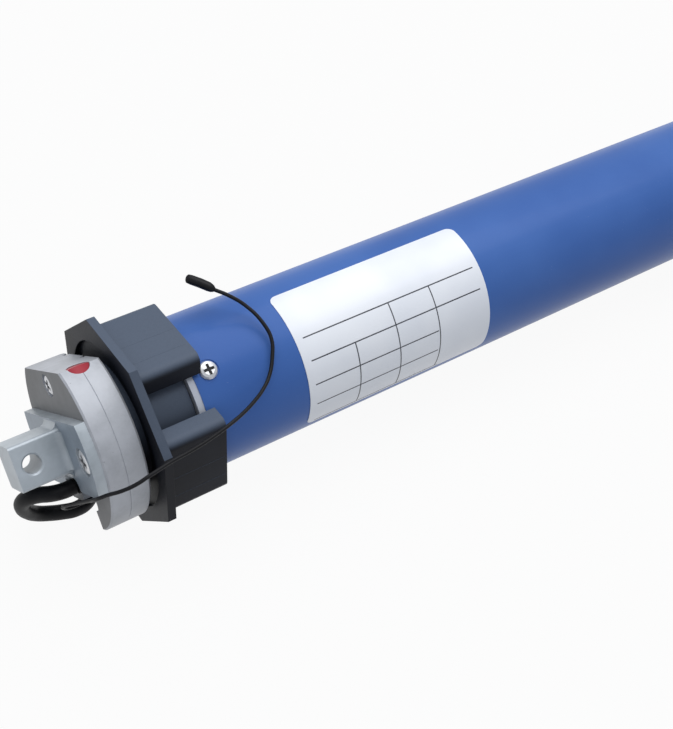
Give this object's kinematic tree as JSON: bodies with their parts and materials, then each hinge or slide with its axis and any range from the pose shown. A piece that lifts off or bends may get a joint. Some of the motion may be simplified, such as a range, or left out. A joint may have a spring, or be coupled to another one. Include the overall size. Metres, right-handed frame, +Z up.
{
  "type": "tubular roller blind motor",
  "caption": "Tubular motor for a roller blind: square pin head, freely turning octagonal crown, blue motor tube with label, gearbox, brake and octagonal drive wheel.",
  "frame": {"origin": "middle of the motor's length, on the motor's centre plane, on the surface that the crown stands on", "axes": "+X runs along the motor from the square pin to the drive wheel, +Z is up, +Y points away from the picture's camera"},
  "size_m": [0.6318, 0.1321, 0.0753],
  "materials": {
    "tube_paint": "glossy blue paint",
    "label_foil": "silver foil",
    "zinc_steel": "bright zinc",
    "cast_metal": "as cast, satin",
    "cast_dark": "dark grey powder coat",
    "crown_plastic": "moulded dark grey",
    "housing_plastic": "moulded light grey",
    "button_plastic": "red",
    "gland_rubber": "black",
    "cable_jacket": "dark grey",
    "core_jacket": "insulated cores",
    "switch_plastic": "black",
    "pinion_plastic": "ivory",
    "magnet": "sintered",
    "board": "green, with components",
    "capacitor": "white can",
    "laminations": "stacked sheet",
    "copper": "varnished winding",
    "brake_fibre": "friction lining",
    "gear_steel": "sintered steel",
    "planet_metal": "sintered bronze",
    "seal_rubber": "black",
    "wheel_plastic": "moulded dark grey"
  },
  "bodies": {
    "motor": {"motor_tube": "tube_paint", "rating_label": "label_foil", "tube_screws": "zinc_steel", "head_body": "cast_metal", "head_cover": "cast_dark", "pin_bracket": "zinc_steel", "bracket_screws": "zinc_steel", "cover_screw": "zinc_steel", "cable_gland": "gland_rubber", "mains_cable": "cable_jacket", "cable_hank": "cable_jacket", "cable_cores": "core_jacket", "cable_tie": "switch_plastic", "antenna_wire": "cable_jacket", "antenna_sleeve": "cable_jacket", "button_spring": "zinc_steel", "button_switch": "switch_plastic", "limit_housing": "housing_plastic", "neck_screws": "zinc_steel", "encoder_board": "board", "electronics_tray": "switch_plastic", "receiver_board": "board", "run_capacitor": "capacitor", "front_end_shield": "cast_metal", "rotor_bearings": "gear_steel", "stator_core": "laminations", "stator_windings": "copper", "rear_end_shield": "cast_metal", "brake_lining": "brake_fibre", "ring_gear_1": "gear_steel", "ring_gear_2": "gear_steel", "ring_gear_3": "gear_steel", "output_housing": "cast_metal", "output_bearings": "gear_steel", "output_seal": "seal_rubber"},
    "crown": {"crown_wheel": "crown_plastic"},
    "pinion": {"limit_pinion": "pinion_plastic", "encoder_magnet": "magnet"},
    "button": {"set_button": "button_plastic"},
    "rotor": {"rotor_shaft": "zinc_steel", "rotor_core": "laminations", "brake_spring": "zinc_steel"},
    "brake": {"brake_armature": "laminations"},
    "carrier_one": {"carrier_1": "gear_steel"},
    "carrier_two": {"carrier_2": "gear_steel"},
    "output": {"output_shaft": "zinc_steel", "drive_wheel": "wheel_plastic", "wheel_washer": "zinc_steel", "wheel_screw": "zinc_steel", "retaining_ring": "gear_steel"},
    "planet_1a_body": {"planet_1a": "planet_metal"},
    "planet_1b_body": {"planet_1b": "planet_metal"},
    "planet_1c_body": {"planet_1c": "planet_metal"},
    "planet_2a_body": {"planet_2a": "planet_metal"},
    "planet_2b_body": {"planet_2b": "planet_metal"},
    "planet_2c_body": {"planet_2c": "planet_metal"},
    "planet_3a_body": {"planet_3a": "planet_metal"},
    "planet_3b_body": {"planet_3b": "planet_metal"},
    "planet_3c_body": {"planet_3c": "planet_metal"}
  },
  "joints": [
    {"name": "output_spin", "type": "hinge", "parent": "motor", "child": "output", "pos_m": [0.289, 0, 0.03555], "axis": [1, 0, 0], "continuous": true},
    {"name": "carrier_2_spin", "type": "hinge", "parent": "motor", "child": "carrier_two", "pos_m": [0.187, 0, 0.03555], "axis": [1, 0, 0], "continuous": true},
    {"name": "carrier_1_spin", "type": "hinge", "parent": "motor", "child": "carrier_one", "pos_m": [0.162, 0, 0.03555], "axis": [1, 0, 0], "continuous": true},
    {"name": "rotor_spin", "type": "hinge", "parent": "motor", "child": "rotor", "pos_m": [0.037, 0, 0.03555], "axis": [1, 0, 0], "continuous": true},
    {"name": "brake_release", "type": "slide", "parent": "rotor", "child": "brake", "axis": [-1, 0, 0], "range_m": [0, 0.0008], "stiffness_N_per_m": 4000},
    {"name": "crown_spin", "type": "hinge", "parent": "motor", "child": "crown", "pos_m": [-0.269, 0, 0.03555], "axis": [1, 0, 0], "continuous": true},
    {"name": "limit_pinion_spin", "type": "hinge", "parent": "motor", "child": "pinion", "pos_m": [-0.263, 0.00899, 0.04793], "axis": [1, 0, 0], "continuous": true},
    {"name": "button_press", "type": "slide", "parent": "motor", "child": "button", "axis": [0, 0, -1], "range_m": [0, 0.0012], "stiffness_N_per_m": 900, "deforming": ["button_spring"]},
    {"name": "planet_1a_spin", "type": "hinge", "parent": "carrier_one", "child": "planet_1a_body", "pos_m": [0.152, 0.0135, 0.03555], "axis": [1, 0, 0], "continuous": true},
    {"name": "planet_1b_spin", "type": "hinge", "parent": "carrier_one", "child": "planet_1b_body", "pos_m": [0.152, -0.00675, 0.04724], "axis": [1, 0, 0], "continuous": true},
    {"name": "planet_1c_spin", "type": "hinge", "parent": "carrier_one", "child": "planet_1c_body", "pos_m": [0.152, -0.00675, 0.02386], "axis": [1, 0, 0], "continuous": true},
    {"name": "planet_2a_spin", "type": "hinge", "parent": "carrier_two", "child": "planet_2a_body", "pos_m": [0.176, 0.01425, 0.03555], "axis": [1, 0, 0], "continuous": true},
    {"name": "planet_2b_spin", "type": "hinge", "parent": "carrier_two", "child": "planet_2b_body", "pos_m": [0.176, -0.00713, 0.04789], "axis": [1, 0, 0], "continuous": true},
    {"name": "planet_2c_spin", "type": "hinge", "parent": "carrier_two", "child": "planet_2c_body", "pos_m": [0.176, -0.00713, 0.02321], "axis": [1, 0, 0], "continuous": true},
    {"name": "planet_3a_spin", "type": "hinge", "parent": "output", "child": "planet_3a_body", "pos_m": [0.204, 0.01485, 0.03555], "axis": [1, 0, 0], "continuous": true},
    {"name": "planet_3b_spin", "type": "hinge", "parent": "output", "child": "planet_3b_body", "pos_m": [0.204, -0.00743, 0.04841], "axis": [1, 0, 0], "continuous": true},
    {"name": "planet_3c_spin", "type": "hinge", "parent": "output", "child": "planet_3c_body", "pos_m": [0.204, -0.00743, 0.02269], "axis": [1, 0, 0], "continuous": true}
  ],
  "couplings": [
    {"joint": "carrier_2_spin", "follows": "output_spin", "ratio": 4.5},
    {"joint": "carrier_1_spin", "follows": "output_spin", "ratio": 22.5},
    {"joint": "rotor_spin", "follows": "output_spin", "ratio": 135},
    {"joint": "limit_pinion_spin", "follows": "crown_spin", "ratio": 4},
    {"joint": "planet_1a_spin", "follows": "output_spin", "ratio": -56.25},
    {"joint": "planet_1b_spin", "follows": "output_spin", "ratio": -56.25},
    {"joint": "planet_1c_spin", "follows": "output_spin", "ratio": -56.25},
    {"joint": "planet_2a_spin", "follows": "output_spin", "ratio": -12},
    {"joint": "planet_2b_spin", "follows": "output_spin", "ratio": -12},
    {"joint": "planet_2c_spin", "follows": "output_spin", "ratio": -12},
    {"joint": "planet_3a_spin", "follows": "output_spin", "ratio": -2.8},
    {"joint": "planet_3b_spin", "follows": "output_spin", "ratio": -2.8},
    {"joint": "planet_3c_spin", "follows": "output_spin", "ratio": -2.8}
  ]
}
